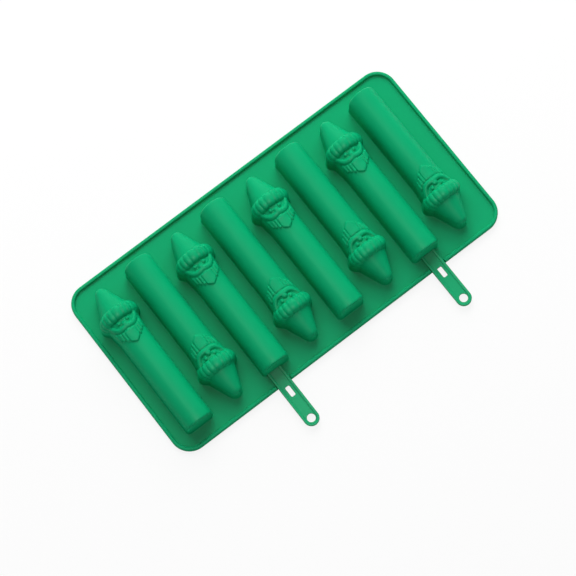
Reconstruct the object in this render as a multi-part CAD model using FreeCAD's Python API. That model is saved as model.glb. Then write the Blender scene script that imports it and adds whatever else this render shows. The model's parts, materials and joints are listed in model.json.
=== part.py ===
import FreeCAD
import Part
import math
import os

# Figure ice pop mould: one soft moulded tray with eight stick shaped hollows, and two plastic pop sticks.
# It lies with the hollows' openings down, so that the moulded backs stand up.
# X runs along the tray, Y across it along the hollows, Z up. The origin is the middle of the open face.

Vector = FreeCAD.Vector
X_AXIS = Vector(1, 0, 0)
Y_AXIS = Vector(0, 1, 0)
Z_AXIS = Vector(0, 0, 1)

# Tray sheet and its rim
tray_length = 300.0
tray_width = 152.0
tray_corner_radius = 15.5
sheet_thickness = 2.0
rim_width = 2.8
rim_rise = 2.6
rim_rounding = 1.1
wall = 2.0

# Row of hollows
hollow_count = 8
hollow_pitch = 35.0
row_shift = -3.2
hollow_length = 126.0

# Round topped bar that each hollow has over most of its length
bar_radius = 11.5
bar_axis_height = 14.0
bar_end_rounding = 1.6

# Head at the other end, measured back from the tip of its hat
hat_tip_radius = 5.2
hat_tip_flat = 1.2
hat_foot_radius = 12.0
hat_foot_from_tip = 21.0
band_from_tip = 25.6
band_length = 11.0
band_radius = 16.3
band_shoulder = 0.9
band_flat = 5.2
band_root_radius = 10.5
centre_lobe_angle = 25.0
lobe_angle = 16.5
lobes_each_side = 4
lobe_groove_depth = 0.8
face_radius = 12.8
face_top_from_tip = 31.0
face_foot_from_tip = 43.0

# Relief on the face: how far each form stands out from the bar's axis
moustache_radius = 14.1
nose_radius = 14.7
eye_radius = 13.9
beard_middle_radius = 13.4
beard_inner_radius = 12.9
beard_outer_radius = 13.2
nose_width = 3.5
nose_from_tip = 35.5
eye_width = 2.8
eye_from_tip = 32.8
eye_spacing = 7.8
relief_inset = 0.7
# right half of each form seen from above, as distance from the middle line and from the hat's tip
moustache_outline = [
    (0, 40.1), (4.6, 40.0), (7.4, 39.3), (9.6, 37.4), (10.9, 34.7), (11.3, 30.4),
    (9.0, 30.4), (8.4, 33.2), (6.8, 35.0), (3.6, 35.8), (0, 36.1),
]
beard_middle_outline = [(0, 40.6), (4.9, 40.6), (4.9, 47.6), (2.6, 50.6), (0, 51.8)]
beard_inner_outline = [(4.2, 40.6), (8.0, 40.6), (8.0, 45.8), (6.0, 47.4), (4.2, 48.2)]
beard_outer_outline = [(7.2, 40.0), (10.7, 38.2), (10.7, 42.6), (9.4, 44.4), (7.2, 43.6)]

# Pop sticks, each lying on the sheet and running through the plain end of a hollow
stick_length = 110.0
stick_width = 12.0
stick_thickness = 2.8
stick_ridge_width = 2.0
stick_recess_depth = 0.7
stick_hole_radius = 3.3
stick_hole_from_end = 6.1
stick_slot_length = 8.7
stick_slot_width = 3.8
stick_slot_corner = 1.2
stick_slot_from_end = 31.3
stick_lift = 0.15
stick_side_clearance = 0.5
stick_top_clearance = 0.45
left_stick_hollow = 2
left_stick_offset = -2.8
left_stick_out = 51.2
right_stick_hollow = 6
right_stick_offset = 1.3
right_stick_out = 48.9
# node name, which hollow it is in, how far it lies off the hollow's middle, how far it stands out of the end wall
sticks = [
    ("stick_left", left_stick_hollow, left_stick_offset, left_stick_out),
    ("stick_right", right_stick_hollow, right_stick_offset, right_stick_out),
]

# What follows from the sizes above
half_length = hollow_length / 2
rim_top = sheet_thickness + rim_rise
stick_floor = sheet_thickness + stick_lift
below_face = 1.0


def hollow_x(index):
    """Middle of one hollow along the tray."""
    return row_shift + (index - (hollow_count - 1) / 2) * hollow_pitch


def points_up(index):
    """The heads lie at alternate ends of the tray."""
    return index % 2 == 0


def rounded_plate(length, width, radius, low, high):
    """Flat plate with round corners, centred on the origin."""
    side_x, side_y = length / 2, width / 2
    in_x, in_y = side_x - radius, side_y - radius
    slant = radius * math.sqrt(0.5)
    edges = []
    corners = [(1, 1), (-1, 1), (-1, -1), (1, -1)]
    for number, (sx, sy) in enumerate(corners):
        from_side = Vector(sx * side_x, sy * in_y, low)
        from_end = Vector(sx * in_x, sy * side_y, low)
        middle = Vector(sx * (in_x + slant), sy * (in_y + slant), low)
        first, last = (from_side, from_end) if sx * sy > 0 else (from_end, from_side)
        edges.append(Part.Arc(first, middle, last).toShape())
        next_x, next_y = corners[(number + 1) % 4]
        if sx * sy > 0:
            onward = Vector(next_x * in_x, next_y * side_y, low)
        else:
            onward = Vector(next_x * side_x, next_y * in_y, low)
        edges.append(Part.LineSegment(last, onward).toShape())
    return Part.Face(Part.Wire(edges)).extrude(Vector(0, 0, high - low))


def tangent_point(start, centre, radius):
    """Where a straight flank from start touches a circle, both in the plane of distance and radius."""
    dx, dy = centre[0] - start[0], centre[1] - start[1]
    reach = math.hypot(dx, dy)
    turn = math.acos(radius / reach)
    back = math.atan2(-dy, -dx) - turn
    return (centre[0] + radius * math.cos(back), centre[1] + radius * math.sin(back))


def half_outline(inset):
    """Half of the bar and hat seen from above, as edges from the plain end to the hat's tip."""
    tip = half_length - inset
    plain_end = -half_length + inset
    bar = bar_radius - inset
    rounding = bar_end_rounding
    cap = hat_tip_radius - inset / 2
    flat = hat_tip_flat
    cap_centre = (tip - math.sqrt(cap ** 2 - flat ** 2), 0.0)
    hat_foot = (half_length - hat_foot_from_tip, hat_foot_radius - inset)
    touch = tangent_point(hat_foot, cap_centre, cap)
    touch_angle = math.atan2(touch[1], touch[0] - cap_centre[0])
    flat_angle = math.asin(flat / cap)
    cap_turn = (touch_angle + flat_angle) / 2
    cap_middle = (cap_centre[0] + cap * math.cos(cap_turn), cap * math.sin(cap_turn))
    corner = rounding * (1 - math.sqrt(0.5))
    straight = [
        (plain_end + rounding, bar),
        (half_length - face_foot_from_tip, bar),
        (half_length - face_top_from_tip, face_radius - inset),
        hat_foot,
        touch,
    ]
    return {
        "plain_face": [(plain_end, 0.0), (plain_end, bar - rounding)],
        "plain_corner": [(plain_end, bar - rounding), (plain_end + corner, bar - corner), straight[0]],
        "side": straight,
        "cap": [touch, cap_middle, (tip, flat)],
        "tip_face": [(tip, flat), (tip, 0.0)],
    }


def outline_edges(inset, side):
    """The half outline in the plane of the open face, on the side of X given."""
    outline = half_outline(inset)
    points = {key: [Vector(side * radius, along, 0) for along, radius in line] for key, line in outline.items()}
    edges = []
    for key in ("plain_face", "side", "tip_face"):
        line = points[key]
        edges += [Part.LineSegment(a, b).toShape() for a, b in zip(line, line[1:])]
    edges += [Part.Arc(*points[key]).toShape() for key in ("plain_corner", "cap")]
    return edges


def bar_and_hat(inset, low):
    """Round upper half about the bar's axis, with straight sides from it down to low."""
    right = outline_edges(inset, 1)
    ends = Vector(0, half_length - inset, 0), Vector(0, -half_length + inset, 0)
    closed = Part.Wire(Part.__sortEdges__(right + [Part.LineSegment(*ends).toShape()]))
    upper = Part.Face(closed).revolve(Vector(0, 0, 0), Y_AXIS, -180)
    upper.translate(Vector(0, 0, bar_axis_height))
    whole = Part.Wire(Part.__sortEdges__(right + outline_edges(inset, -1)))
    foot = Part.Face(whole)
    foot.translate(Vector(0, 0, low))
    return upper.fuse(foot.extrude(Vector(0, 0, bar_axis_height - low)))


def band_profile(inset):
    """Barrel shape of the hat's band, as distance along Y from its middle and radius."""
    half = band_length / 2 - inset / 2
    flat = band_flat / 2 - inset / 4
    outer = band_radius - inset
    shoulder = outer - band_shoulder
    root = band_root_radius - inset
    return [(-half, root), (-flat, shoulder), (0, outer), (flat, shoulder), (half, root)]


def band(inset, low):
    """Puffy band round the head: lobes side by side, cut to a barrel, and its straight foot below."""
    profile = band_profile(inset)
    ends = [(profile[-1][0], 0.0), (profile[0][0], 0.0)]
    barrel_points = [Vector(radius, along, 0) for along, radius in profile + ends]
    barrel = Part.Face(Part.makePolygon(barrel_points + [barrel_points[0]]))
    barrel = barrel.revolve(Vector(0, 0, 0), Y_AXIS, -180)
    crest = band_radius - inset
    valley = crest - lobe_groove_depth
    splits = [centre_lobe_angle / 2 + lobe_angle * number for number in range(lobes_each_side + 1)]
    splits = [-angle for angle in reversed(splits)] + splits
    start_y = profile[0][0]

    def rim_point(angle, radius):
        turn = math.radians(angle)
        return Vector(radius * math.sin(turn), start_y, radius * math.cos(turn))

    edges = []
    for first, last in zip(splits, splits[1:]):
        middle = rim_point((first + last) / 2, crest)
        edges.append(Part.Arc(rim_point(first, valley), middle, rim_point(last, valley)).toShape())
    foot_corners = [rim_point(90, crest), rim_point(-90, crest)]
    sides = [rim_point(splits[-1], valley)] + foot_corners + [rim_point(splits[0], valley)]
    edges += [Part.LineSegment(a, b).toShape() for a, b in zip(sides, sides[1:])]
    lobes = Part.Face(Part.Wire(edges)).extrude(Vector(0, -2 * start_y, 0))
    upper = barrel.common(lobes)
    band_y = half_length - band_from_tip
    upper.translate(Vector(0, band_y, bar_axis_height))
    plan = [(radius, along) for along, radius in profile]
    plan += [(-radius, along) for along, radius in reversed(profile)]
    corners = [Vector(x, band_y + along, low) for x, along in plan]
    foot = Part.Face(Part.makePolygon(corners + [corners[0]])).extrude(Vector(0, 0, bar_axis_height - low))
    return upper, foot


def plan_prism(points):
    """Upright prism on a plan outline, starting at the height of the bar's axis."""
    corners = [Vector(x, half_length - from_tip, bar_axis_height) for x, from_tip in points]
    face = Part.Face(Part.makePolygon(corners + [corners[0]]))
    return face.extrude(Vector(0, 0, 2 * band_radius))


def limited(shape, radius):
    """Keeps what lies within one radius of the bar's axis."""
    drum = Part.makeCylinder(radius, hollow_length, Vector(0, -half_length, bar_axis_height), Y_AXIS)
    return shape.common(drum)


def both_sides(half):
    """A whole outline from the right half of one that starts and ends on the middle line."""
    return half + [(-x, from_tip) for x, from_tip in reversed(half[1:-1])]


def mirrored(points):
    """The same outline on the other side of the face."""
    return [(-x, from_tip) for x, from_tip in reversed(points)]


def drawn_in(points, inset):
    """An outline of the relief as it is on the inside of the wall: narrower, and shorter at both ends."""
    if inset == 0:
        return points
    share = (bar_radius - inset) / bar_radius
    reach = [from_tip for _, from_tip in points]
    middle = (max(reach) + min(reach)) / 2
    length_share = 1 - 2 * relief_inset / (max(reach) - min(reach))
    return [(x * share, middle + (from_tip - middle) * length_share) for x, from_tip in points]


def relief(inset):
    """Moustache, nose, eyes and beard, each a low form that follows the round of the head."""
    outlines = [
        (both_sides(moustache_outline), moustache_radius),
        (both_sides(beard_middle_outline), beard_middle_radius),
        (beard_inner_outline, beard_inner_radius),
        (mirrored(beard_inner_outline), beard_inner_radius),
        (beard_outer_outline, beard_outer_radius),
        (mirrored(beard_outer_outline), beard_outer_radius),
    ]
    forms = [limited(plan_prism(drawn_in(points, inset)), radius - inset) for points, radius in outlines]
    edge = relief_inset if inset else 0.0
    pegs = [(0.0, nose_from_tip, nose_width, nose_radius)]
    pegs += [(side * eye_spacing / 2, eye_from_tip, eye_width, eye_radius) for side in (-1, 1)]
    for x, from_tip, width, radius in pegs:
        foot = Vector(x, half_length - from_tip, bar_axis_height)
        peg = Part.makeCylinder(width / 2 - edge / 2, 2 * band_radius, foot, Z_AXIS)
        forms.append(limited(peg, radius - inset))
    return forms


def hollow_form(inset, low):
    """Whole form of one hollow with its hat towards +Y, drawn in by inset from its outside."""
    body = bar_and_hat(inset, low)
    upper, foot = band(inset, low)
    return body.fuse([upper, foot] + relief(inset)).removeSplitter()


def placed(form, index):
    """One hollow's form moved to its place in the row, turned when its hat points the other way."""
    copy = form.copy()
    if not points_up(index):
        copy.rotate(Vector(0, 0, 0), Z_AXIS, 180)
    copy.translate(Vector(hollow_x(index), 0, 0))
    return copy


def make_tray():
    sheet = rounded_plate(tray_length, tray_width, tray_corner_radius, 0, sheet_thickness)
    rim = rounded_plate(tray_length, tray_width, tray_corner_radius, 0, rim_top)
    inside = rounded_plate(
        tray_length - 2 * rim_width, tray_width - 2 * rim_width, tray_corner_radius - rim_width, -1, rim_top + 1
    )
    rim = rim.cut(inside)
    top_edges = [edge for edge in rim.Edges if edge.BoundBox.ZMin > rim_top - 1e-6]
    rim = rim.makeFillet(rim_rounding, top_edges)
    tray = sheet.fuse(rim).removeSplitter()
    outside = hollow_form(0.0, 0.0)
    inside = hollow_form(wall, -below_face)
    tray = tray.fuse([placed(outside, index) for index in range(hollow_count)])
    tray = tray.cut([placed(inside, index) for index in range(hollow_count)])
    for _, index, offset, _ in sticks:
        way = stick_width + 2 * stick_side_clearance
        left = hollow_x(index) + offset - way / 2
        notch = Part.makeBox(way, rim_width + 2, rim_rise + 1, Vector(left, -tray_width / 2 - 1, sheet_thickness))
        slot_height = stick_lift + stick_thickness + stick_top_clearance
        slot = Part.makeBox(way, 3 * wall, slot_height, Vector(left, -half_length - wall, sheet_thickness))
        tray = tray.cut([notch, slot])
    return tray.removeSplitter()


def long_plate(length, width, low, high):
    """Plate with half round ends, from the origin back along +Y."""
    radius = width / 2
    near, far = radius, length - radius
    edges = [
        Part.Arc(Vector(-radius, near, low), Vector(0, 0, low), Vector(radius, near, low)).toShape(),
        Part.LineSegment(Vector(radius, near, low), Vector(radius, far, low)).toShape(),
        Part.Arc(Vector(radius, far, low), Vector(0, length, low), Vector(-radius, far, low)).toShape(),
        Part.LineSegment(Vector(-radius, far, low), Vector(-radius, near, low)).toShape(),
    ]
    return Part.Face(Part.Wire(edges)).extrude(Vector(0, 0, high - low))


def make_stick(index, offset, out):
    body = long_plate(stick_length, stick_width, 0, stick_thickness)
    recess_length = stick_length - 2 * stick_ridge_width
    recess_width = stick_width - 2 * stick_ridge_width
    for low in (-1, stick_thickness - stick_recess_depth):
        recess = long_plate(recess_length, recess_width, low, low + stick_recess_depth + 1)
        recess.translate(Vector(0, stick_ridge_width, 0))
        body = body.cut(recess)
    hole_foot = Vector(0, stick_hole_from_end, -1)
    hole = Part.makeCylinder(stick_hole_radius, stick_thickness + 2, hole_foot, Z_AXIS)
    slot = rounded_plate(stick_slot_width, stick_slot_length, stick_slot_corner, -1, stick_thickness + 1)
    slot.translate(Vector(0, stick_slot_from_end, 0))
    body = body.cut([hole, slot])
    body.translate(Vector(hollow_x(index) + offset, -half_length - out, stick_floor))
    return body


def write(shape, name):
    if not shape.isValid() or len(shape.Solids) != 1:
        raise SystemExit(f"{name} is not one sound solid")
    shape.Solids[0].exportStep(f"parts/{name}.step")
    print(name, "volume mm3", round(shape.Volume, 1))


os.makedirs("parts", exist_ok=True)
write(make_tray(), "mould_tray")
for name, index, offset, out in sticks:
    write(make_stick(index, offset, out), name)
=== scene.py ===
import json
import math

import bmesh
import bpy
from mathutils import Matrix, Quaternion, Vector

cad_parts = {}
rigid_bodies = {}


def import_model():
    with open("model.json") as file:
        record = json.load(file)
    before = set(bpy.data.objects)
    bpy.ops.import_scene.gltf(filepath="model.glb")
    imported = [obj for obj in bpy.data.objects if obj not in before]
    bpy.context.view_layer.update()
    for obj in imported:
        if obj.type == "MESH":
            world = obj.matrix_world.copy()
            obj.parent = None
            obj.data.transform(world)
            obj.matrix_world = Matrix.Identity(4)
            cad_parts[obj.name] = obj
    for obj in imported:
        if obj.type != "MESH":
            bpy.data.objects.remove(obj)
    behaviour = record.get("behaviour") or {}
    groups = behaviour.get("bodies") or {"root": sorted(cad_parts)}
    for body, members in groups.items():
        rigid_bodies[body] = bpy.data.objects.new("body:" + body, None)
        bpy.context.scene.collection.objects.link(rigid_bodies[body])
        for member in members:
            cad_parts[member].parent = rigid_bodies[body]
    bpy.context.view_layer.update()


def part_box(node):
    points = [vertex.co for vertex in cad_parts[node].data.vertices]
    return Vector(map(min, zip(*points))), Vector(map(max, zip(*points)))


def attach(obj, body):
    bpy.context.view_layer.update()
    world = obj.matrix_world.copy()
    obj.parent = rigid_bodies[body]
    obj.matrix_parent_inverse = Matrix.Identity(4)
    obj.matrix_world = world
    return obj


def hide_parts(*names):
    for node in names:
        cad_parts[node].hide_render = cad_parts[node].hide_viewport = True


# An ice pop mould of soft green silicone, lying on its open face with the backs of its eight hollows up,
# and two plastic pop sticks slid in through the ends of two hollows. The pieces are made in millimetres, and
# each finished mesh is brought to metres.
for thing in bpy.data.objects[:]:
    bpy.data.objects.remove(thing)
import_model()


# One hollow. In the real mould it is a 2 mm skin of silicone: a round topped bar that ends in a bearded head
# with a pointed hat, standing on straight sides. Its inside is the same form, one wall thinner all round.
# Both skins start as the bar's half outline, spun half way round the bar's axis and drawn down to the sheet.
half_length = 63.0
bar_radius = 11.5
axis_height = 14.0
wall = 2.0
sheet = 2.0
face_foot, face_top, face_radius = 17.0, 32.0, 12.8
hat_foot, hat_foot_radius = 42.0, 12.0
hat_tip_radius = 5.2
crown_rounding, foot_rounding = 1.3, 2.7
head_start, head_end = 9.0, 46.0
end_wall_rows, rounding_rows, hat_rows, tip_rows = 4, 5, 5, 6
bar_rows = (-55.0, -35.0, -15.0, 2.0)
# Points less than a hair apart are merged, and a search for points takes those that are near.
hair, near = 0.001, 0.01


def smooth(value, low, high):
    """Rises softly from 0 at low to 1 at high."""
    share = min(1.0, max(0.0, (value - low) / (high - low)))
    return share * share * (3 - 2 * share)


def core_radius(y):
    """The plain round form under the relief, from the bar to the foot of the hat."""
    swell = (face_radius - bar_radius) * smooth(y, face_foot, face_top)
    return bar_radius + swell - (face_radius - hat_foot_radius) * smooth(y, face_top, hat_foot)


def half_outline(inset, row_spacings):
    """Places and radii along the bar's axis, from the middle of the plain end to the tip of the hat."""
    plain, rim = inset - half_length, bar_radius - inset
    line = [(plain, (rim - crown_rounding) * row / end_wall_rows) for row in range(end_wall_rows)]
    for row in range(rounding_rows + 1):
        turn = math.pi / 2 * row / rounding_rows
        y = plain + crown_rounding * (1 - math.cos(turn))
        line.append((y, rim - crown_rounding * (1 - math.sin(turn))))
    line += [(y, rim) for y in bar_rows]

    # The hat is a cone from its foot to where it touches the ball of its tip.
    cap = hat_tip_radius - inset / 2
    cap_y = half_length - inset - cap
    foot_radius = hat_foot_radius - inset
    foot_to_cap = math.hypot(cap_y - hat_foot, foot_radius)
    touch = math.atan2(foot_radius, hat_foot - cap_y) - math.acos(cap / foot_to_cap)
    touch_y, touch_radius = cap_y + cap * math.cos(touch), cap * math.sin(touch)
    slope = (touch_radius - foot_radius) / (touch_y - hat_foot)
    for start, end, spacing in row_spacings:
        rows = round((end - start) / spacing)
        for row in range(rows):
            y = start + (end - start) * row / rows
            radius = core_radius(y) - inset if y < hat_foot else foot_radius + slope * (y - hat_foot)
            line.append((y, radius))
    for row in range(hat_rows + 1):
        y = head_end + (touch_y - head_end) * row / hat_rows
        line.append((y, foot_radius + slope * (y - hat_foot)))
    for row in range(1, tip_rows + 1):
        turn = touch * (1 - row / tip_rows)
        line.append((cap_y + cap * math.cos(turn), cap * math.sin(turn)))
    return line


# The hat's band is a roll of fur in puffy lobes. It leans back a little towards the crown, and low down at
# the sides it is wider and slants off.
band_side_y, band_crown_y = 36.4, 37.5
band_half, band_widening, band_crest = 5.5, 0.9, 16.3
low_down_angles = (55, 90)
lobe_groove, groove_sharpness, lobe_narrowing = 0.6, 2.2, 0.10
centre_lobe, side_lobe, lobes_each_side = 25.0, 16.5, 4
last_groove = centre_lobe / 2 + lobes_each_side * side_lobe


def lobe_share(angle):
    """0 in the middle of a lobe and 1 in the groove beside it."""
    turn = abs(angle)
    if turn < centre_lobe / 2:
        return turn / (centre_lobe / 2)
    if turn > last_groove:
        return 1 - (turn - last_groove) / (90 - last_groove)
    return abs((turn - centre_lobe / 2) % side_lobe / side_lobe * 2 - 1)


def band_rise(y, angle, inset):
    lobe = lobe_share(angle)
    low_down = smooth(abs(angle), *low_down_angles)
    middle = band_side_y + (band_crown_y - band_side_y) * math.cos(math.radians(angle))
    half = (band_half + band_widening * low_down - inset / 2) * (1 - lobe_narrowing * lobe ** 3)
    off = abs(y - middle) / half
    if off >= 1:
        return 0.0
    crest = band_crest - lobe_groove * lobe ** groove_sharpness - core_radius(y)
    puffy = (1 - off ** 2.5) ** 0.55
    slanting = (1 - off ** 2) ** 1.3
    return crest * (puffy + (slanting - puffy) * low_down)


# A thick moustache runs across under the band. It has a small peak in its middle, and sweeps up to the band
# at both sides. On the face, places beside the crown are measured across, along its surface.
moustache_y, moustache_height = 24.9, 1.75
moustache_half, moustache_thinning = 2.15, 0.25
moustache_thins, moustache_fades = (5, 11), (33, 36)
peak_height, peak_width = 0.5, 1.6
sweep_start, sweep, sweep_power, sweep_slope = 3.5, 0.0266, 2.67, 0.071
face_surface_radius = 12.6


def dome(off, height):
    """A rounded bump: off is 0 at its middle and 1 at its edge."""
    return height * math.sqrt(1 - off * off) if off < 1 else 0.0


def moustache_rise(y, across):
    beyond = max(0.0, across - sweep_start)
    peak = peak_height * math.exp(-(across / peak_width) ** 2)
    ridge = moustache_y + peak + sweep * beyond ** sweep_power
    slope = sweep_slope * beyond ** (sweep_power - 1)
    half = moustache_half - moustache_thinning * smooth(across, *moustache_thins)
    rise = dome(abs(y - ridge) / math.hypot(1, slope) / half, moustache_height)
    return rise * (1 - smooth(y, *moustache_fades))


# The face between them is a doll's: a nose, and two round eyes in a shallow dip.
dip_depth = 0.35
dip_starts, dip_ends, dip_fades = (25.5, 27.5), (32, 35), (7.0, 9.5)
nose_y, nose_half_width, nose_half_length, nose_height = 27.4, 2.3, 2.4, 2.0
eye_across, eye_y, eye_radius, eye_height = 4.0, 29.9, 1.6, 1.15


def face_rise(y, across):
    dip = dip_depth * smooth(y, *dip_starts) * (1 - smooth(y, *dip_ends)) * (1 - smooth(across, *dip_fades))
    nose = dome(math.hypot(across / nose_half_width, (y - nose_y) / nose_half_length), nose_height)
    eye = dome(math.hypot(across - eye_across, y - eye_y) / eye_radius, eye_height)
    return max(nose, eye) - dip


# The beard has a broad pointed middle and three shorter locks at each side, and its top is tucked under the
# moustache. Each side lock has where it starts and ends across, where its tip is, and how round that is.
beard_height, beard_side = 1.45, 12.6
beard_top, beard_lift_start, beard_lift = 22.8, 4.5, 0.052
beard_point, beard_point_slant = 11.2, 0.35
beard_edge_slant, beard_edge_rounding = 0.85, 0.9
beard_tuck, beard_under = 0.9, 0.8
beard_fade = 1.0
side_locks = ((4.6, 7.2, 14.7, 0.7), (7.2, 9.8, 16.7, 0.8), (9.8, beard_side, 18.5, 0.9))
lock_groove, lock_groove_width = 0.45, 0.8


def beard_tip(across):
    """How far down the beard reaches: its point in the middle, and the round tips of the locks beside it."""
    for start, end, tip, roundness in side_locks:
        if start <= across < end:
            off = (across - (start + end) / 2) / ((end - start) / 2)
            return tip + roundness * off ** 2
    return beard_point + beard_point_slant * across ** 1.4


def beard_rise(y, across):
    top = beard_top + beard_lift * max(0.0, across - beard_lift_start) ** 2
    edge = (y - beard_tip(across)) * beard_edge_slant
    if across >= beard_side or edge <= 0 or y > top + beard_under:
        return 0.0
    rounded = 1 - (1 - min(1.0, edge / beard_edge_rounding)) ** 2
    tucked = 0.5 + 0.5 * smooth(top - y, 0, beard_tuck)
    beside = min(abs(across - lock[0]) for lock in side_locks)
    groove = lock_groove * (1 - smooth(beside, 0, lock_groove_width))
    fade = smooth(beard_side - across, 0, beard_fade)
    return beard_height * math.sqrt(rounded) * tucked * (1 - groove) * fade


def relief(y, angle, inset):
    """How far the skin stands out of the plain round form. The angle is from the crown, in degrees."""
    across = abs(math.radians(angle)) * face_surface_radius
    over_face = (moustache_rise(y, across), beard_rise(y, across), band_rise(y, angle, inset))
    return max([face_rise(y, across)] + [rise for rise in over_face if rise > 0])


def round_corner(y, radius, lean, inset):
    """The rounding of the plain end, which is larger at its foot than at its crown."""
    plain, rim = inset - half_length, bar_radius - inset
    if y > plain + crown_rounding + hair or radius < rim - crown_rounding - hair:
        return y, radius
    share = 1 + (foot_rounding / crown_rounding - 1) * lean
    return plain + (y - plain) * share, rim - (rim - radius) * share


# The rows along the head are from, to and spacing. The steps are those of each lobe, from side to side.
rows_outside = ((head_start, 22.0, 0.65), (22.0, 34.0, 0.45), (34.0, head_end, 0.6))
rows_inside = ((head_start, 22.0, 1.3), (22.0, 34.0, 0.8), (34.0, head_end, 1.0))
lobe_steps_outside = (3, 5, 6, 8, 9, 12, 9, 8, 6, 5, 3)
lobe_steps_inside = (2, 2, 3, 4, 5, 6, 5, 4, 3, 2, 2)
side_wall_row = 8.0


def grow(mesh, edges):
    """Extrudes a line of edges and returns the new line and its points, still in the old place."""
    grown = bmesh.ops.extrude_edge_only(mesh, edges=edges)["geom"]
    points = {part for part in grown if isinstance(part, bmesh.types.BMVert)}
    line = [part for part in grown if isinstance(part, bmesh.types.BMEdge) and set(part.verts) <= points]
    return line, points


def spun_skin(inset, row_spacings, lobe_steps, foot_height):
    """One skin of the hollow with its relief, and with straight sides down to its foot."""
    skin = bmesh.new()
    line = [skin.verts.new((radius, y, axis_height)) for y, radius in half_outline(inset, row_spacings)]
    right = [skin.edges.new(pair) for pair in zip(line, line[1:])]
    lobe_angles = [side_lobe] * lobes_each_side
    angles = [90 - last_groove] + lobe_angles + [centre_lobe] + lobe_angles + [90 - last_groove]
    turned = line + right
    for angle, steps in zip(angles, lobe_steps):
        turned = bmesh.ops.spin(
            skin, geom=turned, cent=(0, 0, axis_height), axis=(0, 1, 0), angle=-math.radians(angle),
            steps=steps,
        )["geom_last"]
    left = [part for part in turned if isinstance(part, bmesh.types.BMEdge)]
    for side in (right, left):
        for level in (side_wall_row, foot_height):
            side, points = grow(skin, side)
            for point in points:
                point.co.z = level

    for point in skin.verts:
        x, y, z = point.co
        up = max(0.0, z - axis_height)
        radius = math.hypot(x, up)
        if radius < near:
            continue
        angle = math.degrees(math.atan2(x, up))
        new_y, new_radius = round_corner(y, radius, (x / radius) ** 2, inset)
        new_radius += relief(y, angle, inset)
        point.co.x = x / radius * new_radius
        point.co.y = new_y
        if z > axis_height:
            point.co.z = axis_height + up / radius * new_radius
    bmesh.ops.remove_doubles(skin, verts=skin.verts, dist=hair)
    return skin


# Outside, a small fillet runs round the foot. Inside, the mouth has a slightly rounded edge. Each loop then
# goes on a little way in the flat of the sheet, so that the flat faces stay flat in the shading.
fillet, fillet_steps = 0.9, 3
mouth_rounding, mouth_steps = 0.5, 2
margin = 0.4


def open_edges(mesh, height):
    """The open edges of a mesh at one height."""
    return [
        edge for edge in mesh.edges
        if len(edge.link_faces) < 2 and all(abs(point.co.z - height) < near for point in edge.verts)
    ]


def lead_out(mesh, edges, reach):
    """Keeps at each point of a closed loop the level direction out of it.

    It is square to the line between the points that lie reach places before and after it.
    """
    way = mesh.verts.layers.float_vector.get("way") or mesh.verts.layers.float_vector.new("way")
    beside = {}
    for edge in edges:
        first, second = edge.verts
        beside.setdefault(first, []).append(second)
        beside.setdefault(second, []).append(first)
    loop = [edges[0].verts[0]]
    while len(loop) < len(beside):
        loop.append(next(point for point in beside[loop[-1]] if point not in loop[-2:]))
    area = sum(a.co.x * b.co.y - b.co.x * a.co.y for a, b in zip(loop, loop[1:] + loop[:1]))
    for place, point in enumerate(loop):
        along = loop[(place + reach) % len(loop)].co - loop[place - reach].co
        along *= math.copysign(1, area)
        point[way] = Vector((along.y, -along.x, 0)).normalized()


def draw(mesh, edges, steps):
    """Draws a loop on through steps of (out, height), out from the first loop, and returns the last."""
    way = mesh.verts.layers.float_vector["way"]
    reached = 0.0
    for out, height in steps:
        edges, points = grow(mesh, edges)
        for point in points:
            point.co += point[way] * (out - reached)
            point.co.z = height
        reached = out
    return edges


def arc(out, height, radius, from_turn, to_turn, steps):
    """Points of an arc in the plane of out and height, with turns in degrees, after its first point."""
    turns = [math.radians(from_turn + (to_turn - from_turn) * step / steps) for step in range(1, steps + 1)]
    return [(out + radius * math.cos(turn), height + radius * math.sin(turn)) for turn in turns]


def hollow_skin(skin, face_height, rounding, steps, reach):
    """Rounds the foot of a skin into the face of the sheet at a height, and returns it as mesh data."""
    foot = open_edges(skin, face_height + rounding)
    lead_out(skin, foot, reach)
    flare = arc(rounding, face_height + rounding, rounding, 180, 270, steps)
    draw(skin, foot, flare + [(rounding + margin, face_height)])
    data = bpy.data.meshes.new("skin")
    skin.to_mesh(data)
    skin.free()
    return data


outer_skin = hollow_skin(
    spun_skin(0.0, rows_outside, lobe_steps_outside, sheet + fillet), sheet, fillet, fillet_steps, reach=2
)
inner_skin = hollow_skin(
    spun_skin(wall, rows_inside, lobe_steps_inside, mouth_rounding), 0, mouth_rounding, mouth_steps, reach=1
)


# The sheet and its rim. The sheet is 2 mm thick and joins the hollows. Its border is a raised rounded lip
# that keeps it stiff, notched at the front where the two sticks pass out over the sheet.
tray_length, tray_width, tray_corner, corner_steps = 300.0, 152.0, 15.5, 14
rim_width, rim_top, rim_rounding, rim_steps = 2.8, 4.6, 1.1, 4
edge_rounding, rim_fillet, small_steps = 0.5, 0.45, 3
hollow_count, hollow_pitch, row_shift = 8, 35.0, -3.2


def hollow_x(index):
    return row_shift + (index - (hollow_count - 1) / 2) * hollow_pitch


mould = bmesh.new()
bmesh.ops.create_grid(mould, x_segments=1, y_segments=1, size=0.5)
bmesh.ops.scale(mould, vec=(tray_length, tray_width, 1), verts=mould.verts)
bmesh.ops.bevel(
    mould, geom=mould.verts[:], offset=tray_corner, segments=corner_steps, profile=0.5, affect="VERTICES",
    material=-1,
)
bmesh.ops.delete(mould, geom=mould.faces[:], context="FACES_ONLY")
bmesh.ops.translate(mould, vec=(0, 0, edge_rounding), verts=mould.verts)
border = mould.edges[:]
lead_out(mould, border, 1)
under_rim = arc(-edge_rounding, edge_rounding, edge_rounding, 0, -90, small_steps)
draw(mould, border, under_rim + [(-edge_rounding - margin, 0)])

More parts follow.
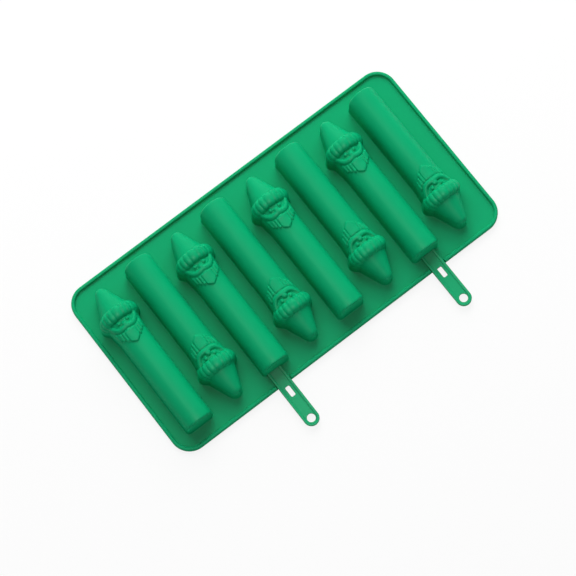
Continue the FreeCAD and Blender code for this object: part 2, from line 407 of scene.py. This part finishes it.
shoulder = rim_top - rim_rounding
over_rim = [(0, shoulder)]
over_rim += arc(-rim_rounding, shoulder, rim_rounding, 0, 90, rim_steps)
over_rim += [(rim_rounding - rim_width, rim_top)]
over_rim += arc(rim_rounding - rim_width, shoulder, rim_rounding, 90, 180, rim_steps)
over_rim += [(-rim_width, sheet + rim_fillet)]
over_rim += arc(-rim_width - rim_fillet, sheet + rim_fillet, rim_fillet, 0, -90, small_steps)
over_rim += [(-rim_width - rim_fillet - margin, sheet)]
draw(mould, border, over_rim)

# Each stick has the number of its hollow and how far it lies beside the middle of that.
stick_places = ((2, -2.8), (6, 1.3))
stick_width, stick_play, notch_slant = 12.0, 1.0, 0.3

for index, offset in stick_places:
    left = hollow_x(index) + offset - (stick_width + stick_play) / 2
    right = left + stick_width + stick_play
    for x in (left - notch_slant, left, right, right + notch_slant):
        cut_through = [face for face in mould.faces if face.calc_center_median().y < 0]
        cut_through += mould.edges[:] + mould.verts[:]
        bmesh.ops.bisect_plane(
            mould, geom=cut_through, dist=hair, plane_co=(x, 0, 0), plane_no=(1, 0, 0)
        )
    for point in mould.verts:
        if left - near < point.co.x < right + near and point.co.y < 0:
            point.co.z = min(point.co.z, sheet)

for index in range(hollow_count):
    turn = Matrix.Rotation(math.pi * (index % 2), 4, "Z")
    place = Matrix.Translation((hollow_x(index), 0, 0)) @ turn
    for skin in (outer_skin, inner_skin):
        before = len(mould.verts)
        mould.from_mesh(skin)
        mould.verts.ensure_lookup_table()
        bmesh.ops.transform(mould, matrix=place, verts=mould.verts[before:])
for height in (0, sheet):
    bmesh.ops.triangle_fill(mould, use_beauty=True, edges=open_edges(mould, height), normal=(0, 0, 1))
bmesh.ops.remove_doubles(mould, verts=mould.verts, dist=2 * hair)
bmesh.ops.recalc_face_normals(mould, faces=mould.faces)

# Each stick passes through a close slot in the plain end wall of its hollow. The slot starts just below the
# top of the sheet, so that no thin skin stays over it.
slot_height, slot_rounding, slot_sink = 3.4, 0.8, 0.03


def as_object(mesh, name):
    data = bpy.data.meshes.new(name)
    mesh.to_mesh(data)
    mesh.free()
    thing = bpy.data.objects.new(name, data)
    bpy.context.scene.collection.objects.link(thing)
    return thing


cutter = bmesh.new()
for index, offset in stick_places:
    block = bmesh.ops.create_cube(cutter, size=1)["verts"]
    size = (stick_width + stick_play, 4 * wall, slot_height + slot_sink)
    bmesh.ops.scale(cutter, vec=size, verts=block)
    middle = (hollow_x(index) + offset, wall / 2 - half_length, sheet + (slot_height - slot_sink) / 2)
    bmesh.ops.translate(cutter, vec=middle, verts=block)
upper_edges = [
    edge for edge in cutter.edges
    if min(point.co.z for point in edge.verts) > sheet + 1 and edge.verts[0].co.x == edge.verts[1].co.x
]
bmesh.ops.bevel(
    cutter, geom=upper_edges, offset=slot_rounding, segments=4, profile=0.5, affect="EDGES", material=-1
)
uncut, knife = as_object(mould, "uncut"), as_object(cutter, "knife")
slots = uncut.modifiers.new("slots", "BOOLEAN")
slots.operation, slots.solver, slots.object = "DIFFERENCE", "EXACT", knife
mould = bmesh.new()
mould.from_object(uncut, bpy.context.evaluated_depsgraph_get())
for thing in (uncut, knife):
    bpy.data.objects.remove(thing)


def finished(mesh, name, material, crease=40):
    """Brings a mesh to metres and makes it a smooth piece; edges sharper than crease stay sharp."""
    bmesh.ops.recalc_face_normals(mesh, faces=mesh.faces)
    bmesh.ops.scale(mesh, vec=(0.001, 0.001, 0.001), verts=mesh.verts)
    piece = as_object(mesh, name)
    piece.data.shade_smooth()
    piece.data.set_sharp_from_angle(angle=math.radians(crease))
    piece.data.materials.append(material)
    return piece


class Shade:
    """One output socket of a tree of nodes. Arithmetic with it adds Math nodes."""

    def __init__(self, tree, socket=None):
        self.tree = tree
        self.socket = socket

    def node(self, kind, settings, inputs, output=0):
        """Adds a node, gives it its settings and then its inputs, and returns one of its outputs."""
        node = self.tree.nodes.new("ShaderNode" + kind)
        for name, value in settings.items():
            setattr(node, name, value)
        for name, value in inputs.items():
            if isinstance(value, Shade):
                self.tree.links.new(value.socket, node.inputs[name])
            else:
                node.inputs[name].default_value = value
        return Shade(self.tree, node.outputs[output])

    def colours(self, share, first, second):
        """Goes from the first colour to the second with share. The numbers are a Mix node's sockets."""
        return self.node("Mix", {"data_type": "RGBA"}, {0: share, 6: first, 7: second}, 2)

    def math(self, operation, other=0.0):
        return self.node("Math", {"operation": operation}, {0: self, 1: other})

    def __add__(self, other):
        return self.math("ADD", other)

    __radd__ = __add__

    def __sub__(self, other):
        return self.math("SUBTRACT", other)

    def __rsub__(self, other):
        return self.node("Math", {"operation": "SUBTRACT"}, {0: other, 1: self})

    def __mul__(self, other):
        return self.math("MULTIPLY", other)

    __rmul__ = __mul__


def new_material(name):
    """An empty material: its start for Shade, and what joins the last shader to its output."""
    material = bpy.data.materials.new(name)
    material.use_nodes = True
    tree = material.node_tree
    tree.nodes.clear()
    output = tree.nodes.new("ShaderNodeOutputMaterial")

    def close(shader):
        tree.links.new(shader.socket, output.inputs["Surface"])
        return material

    return Shade(tree), close


# The silicone is satin, from a blasted steel mould: a very fine grain, a faint unevenness of the soft skin
# that breaks up its highlights, and hardly any change of colour. The crowns of the hollows, which hands and
# shelves rub, are smoother than the sheet: the roughness falls with each metre of height.
silicone_light, silicone_deep = (0.001, 0.360, 0.144, 1), (0.001, 0.315, 0.124, 1)
silicone_roughness, silicone_patches, roughness_fall = 0.55, 0.06, 6.0
silicone_crease = 48


def moulded_silicone():
    start, close = new_material("moulded silicone")
    place = start.node("TexCoord", {}, {}, "Object")
    height = start.node("SeparateXYZ", {}, {"Vector": place}, "Z")
    cloud = start.node("TexNoise", {}, {"Vector": place, "Scale": 22.0, "Detail": 3.0})
    patch = start.node("TexNoise", {}, {"Vector": place, "Scale": 180.0, "Detail": 4.0})
    grain = start.node("TexNoise", {}, {"Vector": place, "Scale": 3200.0, "Detail": 2.0})
    colour = start.colours(cloud * 0.75 + patch * 0.25, silicone_deep, silicone_light)
    roughness = silicone_roughness + silicone_patches * patch - height * roughness_fall
    wavy = start.node("Bump", {}, {"Strength": 0.35, "Distance": 0.0006, "Height": cloud})
    skin = start.node("Bump", {}, {"Strength": 0.16, "Distance": 0.00006, "Height": grain, "Normal": wavy})
    return close(start.node("BsdfPrincipled", {}, {
        "Base Color": colour, "Roughness": roughness, "Normal": skin, "Specular IOR Level": 0.06,
    }))


mould_piece = finished(mould, "ice_pop_mould", moulded_silicone(), silicone_crease)
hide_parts("mould_tray")
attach(mould_piece, "tray")


# The pop sticks. Each is one flat moulding of green plastic with round ends, a raised border on both faces,
# a round hole to hang it by at its outer end and a short slot behind that. Nothing fastens it: the silicone
# grips it.
stick_length, stick_thickness, stick_edge, stick_end_steps = 110.0, 2.8, 0.3, 14
border_width, border_slope, border_lip, web_depth = 1.8, 0.35, 0.12, 0.7
hole_radius, hole_from_end, hole_steps = 3.3, 6.1, 10
slot_length, slot_width, slot_corner, slot_from_end, slot_steps = 8.7, 3.8, 1.2, 31.3, 5
opening_chamfer = 0.15


def plate_outline(mesh, width, length, corner, steps, middle):
    """A closed outline with round corners; returns its edges."""
    before = set(mesh.verts)
    bmesh.ops.create_grid(mesh, x_segments=1, y_segments=1, size=0.5)
    points = [point for point in mesh.verts if point not in before]
    bmesh.ops.scale(mesh, vec=(width, length, 1), verts=points)
    bmesh.ops.translate(mesh, vec=middle, verts=points)
    bmesh.ops.bevel(
        mesh, geom=points, offset=corner, segments=steps, profile=0.5, affect="VERTICES", material=-1
    )
    face = next(face for face in mesh.faces if set(face.verts).isdisjoint(before))
    edges = face.edges[:]
    bmesh.ops.delete(mesh, geom=[face], context="FACES_ONLY")
    return edges


def pierce(mesh, edges, top, low):
    """Draws the walls of a hole down from its outline on the upper web; returns the lower outline."""
    lead_out(mesh, edges, 1)
    return draw(mesh, edges, [
        (-opening_chamfer, top - opening_chamfer), (-opening_chamfer, low + opening_chamfer), (0, low),
    ])


def pop_stick():
    """A stick along Y from 0, lying on the height 0."""
    stick = bmesh.new()
    plate_outline(
        stick, stick_width, stick_length, stick_width / 2 - hair, stick_end_steps,
        (0, stick_length / 2, stick_edge),
    )
    bmesh.ops.remove_doubles(stick, verts=stick.verts, dist=near)
    outline = stick.edges[:]
    lead_out(stick, outline, 1)
    under = arc(-stick_edge, stick_edge, stick_edge, 0, -90, small_steps)
    under += [(-border_width, 0), (-border_width - border_slope / 2, border_lip)]
    under += [(-border_width - border_slope, web_depth)]
    over = [(out, stick_thickness - height) for out, height in [(0, stick_edge)] + under]
    low_web, top_web = draw(stick, outline, under), draw(stick, outline, over)

    web_low, web_top = web_depth, stick_thickness - web_depth
    hole = plate_outline(
        stick, 2 * (hole_radius + opening_chamfer), 2 * (hole_radius + opening_chamfer),
        hole_radius + opening_chamfer - hair, hole_steps, (0, hole_from_end, web_top),
    )
    slot = plate_outline(
        stick, slot_width + 2 * opening_chamfer, slot_length + 2 * opening_chamfer, slot_corner, slot_steps,
        (0, slot_from_end, web_top),
    )
    low_holes = pierce(stick, hole, web_top, web_low) + pierce(stick, slot, web_top, web_low)
    for edges in (top_web + hole + slot, low_web + low_holes):
        bmesh.ops.triangle_fill(stick, use_beauty=True, edges=edges, normal=(0, 0, 1))
    bmesh.ops.remove_doubles(stick, verts=stick.verts, dist=3 * hair)
    return stick


# The plastic is a little glossier than the silicone, with a faint flow along the stick from its moulding.
plastic_light, plastic_deep = (0.002, 0.370, 0.150, 1), (0.001, 0.310, 0.120, 1)
plastic_roughness, plastic_clouds = 0.34, 0.12


def stick_plastic():
    start, close = new_material("stick plastic")
    place = start.node("TexCoord", {}, {}, "Object")
    along = start.node("Mapping", {}, {"Vector": place, "Scale": (1.0, 0.08, 1.0)})
    flow = start.node("TexNoise", {}, {"Vector": along, "Scale": 420.0, "Detail": 3.0})
    cloud = start.node("TexNoise", {}, {"Vector": place, "Scale": 60.0, "Detail": 2.0})
    colour = start.colours(flow * 0.5 + cloud * 0.5, plastic_deep, plastic_light)
    skin = start.node("Bump", {}, {"Strength": 0.2, "Distance": 0.00008, "Height": flow})
    return close(start.node("BsdfPrincipled", {}, {
        "Base Color": colour, "Roughness": plastic_roughness + plastic_clouds * cloud, "Normal": skin,
        "Specular IOR Level": 0.1,
    }))


plastic = stick_plastic()
for node, body in (("stick_left", "left_stick"), ("stick_right", "right_stick")):
    low_corner, high_corner = (corner * 1000 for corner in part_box(node))
    stick = pop_stick()
    outer_end = ((low_corner.x + high_corner.x) / 2, low_corner.y, low_corner.z)
    bmesh.ops.translate(stick, vec=outer_end, verts=stick.verts)
    piece = finished(stick, "pop_" + node, plastic)
    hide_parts(node)
    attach(piece, body)


# A plain white table, and the soft light of a studio: an even glow from all round, and lamps. The table and
# the glow look white to the camera, and the table keeps a faint shadow. It isn't white under the hollows, so
# that a slot that a stick has left shows a dark inside.
table_half, table_drop = 3000.0, 0.3
table_colour, table_whiteness = (0.86, 0.86, 0.86, 1), 0.86
hollows_half_length, hollows_half_width = 0.12, 0.062
white = (1, 1, 1, 1)
glow = 0.38


def white_table():
    start, close = new_material("white table")
    place = start.node("TexCoord", {}, {}, "Object")
    x = start.node("SeparateXYZ", {}, {"Vector": place}, "X")
    y = start.node("SeparateXYZ", {}, {"Vector": place}, "Y")
    under_row = x.math("ABSOLUTE").math("LESS_THAN", hollows_half_length)
    under_hollows = under_row * y.math("ABSOLUTE").math("LESS_THAN", hollows_half_width)
    seen = start.node("LightPath", {}, {}, "Is Camera Ray") * (1 - under_hollows)
    lit = start.node("BsdfDiffuse", {}, {"Color": table_colour})
    bright = start.node("Emission", {}, {"Color": white, "Strength": 1.0})
    return close(start.node("MixShader", {}, {0: seen * table_whiteness, 1: lit, 2: bright}))


table = bmesh.new()
bmesh.ops.create_grid(table, x_segments=1, y_segments=1, size=table_half)
bmesh.ops.translate(table, vec=(0, 0, -table_drop), verts=table.verts)
finished(table, "table", white_table())

world = bpy.data.worlds.new("studio")
bpy.context.scene.world = world
world.use_nodes = True
world.node_tree.nodes.clear()
sky = Shade(world.node_tree)
camera_ray = sky.node("LightPath", {}, {}, "Is Camera Ray")
glossy_ray = sky.node("LightPath", {}, {}, "Is Glossy Ray")
transmission_ray = sky.node("LightPath", {}, {}, "Is Transmission Ray")
white_seen = camera_ray.math("MAXIMUM", transmission_ray).math("MAXIMUM", glossy_ray)
soft = sky.node("Background", {}, {"Color": white, "Strength": glow})
bright = sky.node("Background", {}, {"Color": white, "Strength": 1.0})
mixed = sky.node("MixShader", {}, {0: white_seen, 1: soft, 2: bright})
world_output = world.node_tree.nodes.new("ShaderNodeOutputWorld")
world.node_tree.links.new(mixed.socket, world_output.inputs["Surface"])

# Two broad lamps light it from beyond and from the right, and a third gives the crowns their satin sheen.
# Each has its energy, its size, its place, and the kind of light that it leaves out.
lamps = (
    ("side window", 16.5, 1.1, (0.90, 1.06, 0.80), "visible_glossy"),
    ("far window", 15.5, 1.1, (0.22, 0.89, 1.31), "visible_glossy"),
    ("sheen card", 34.0, 0.8, (-0.22, -0.33, 1.55), "visible_diffuse"),
)
for name, energy, size, place, left_out in lamps:
    lamp_data = bpy.data.lights.new(name, "AREA")
    lamp_data.energy = energy
    lamp_data.size = size
    lamp = bpy.data.objects.new(name, lamp_data)
    bpy.context.scene.collection.objects.link(lamp)
    lamp.location = place
    lamp.rotation_euler = (-lamp.location).to_track_quat("-Z", "Y").to_euler()
    setattr(lamp, left_out, False)

# The camera looks down steeply at the tray, turned so that its long side runs up to the right.
camera_turn, camera_height, camera_roll = math.radians(-30.6), math.radians(76.0), math.radians(-7.1)
camera_distance, focal_pixels, picture_pixels, sensor = 1.738, 2335.5, 576.0, 36.0
aim = Vector((-0.0119, -0.0191, 0.0))
camera_data = bpy.data.cameras.new("camera")
camera_data.sensor_width = sensor
camera_data.lens = focal_pixels / picture_pixels * sensor
camera = bpy.data.objects.new("camera", camera_data)
bpy.context.scene.collection.objects.link(camera)
back = Vector((
    math.sin(camera_turn) * math.cos(camera_height),
    -math.cos(camera_turn) * math.cos(camera_height),
    math.sin(camera_height),
))
camera.location = aim + back * camera_distance
upright = back.to_track_quat("Z", "Y")
camera.rotation_euler = (upright @ Quaternion((0, 0, 1), camera_roll)).to_euler()
bpy.context.scene.camera = camera
bpy.context.scene.view_settings.view_transform = "Standard"
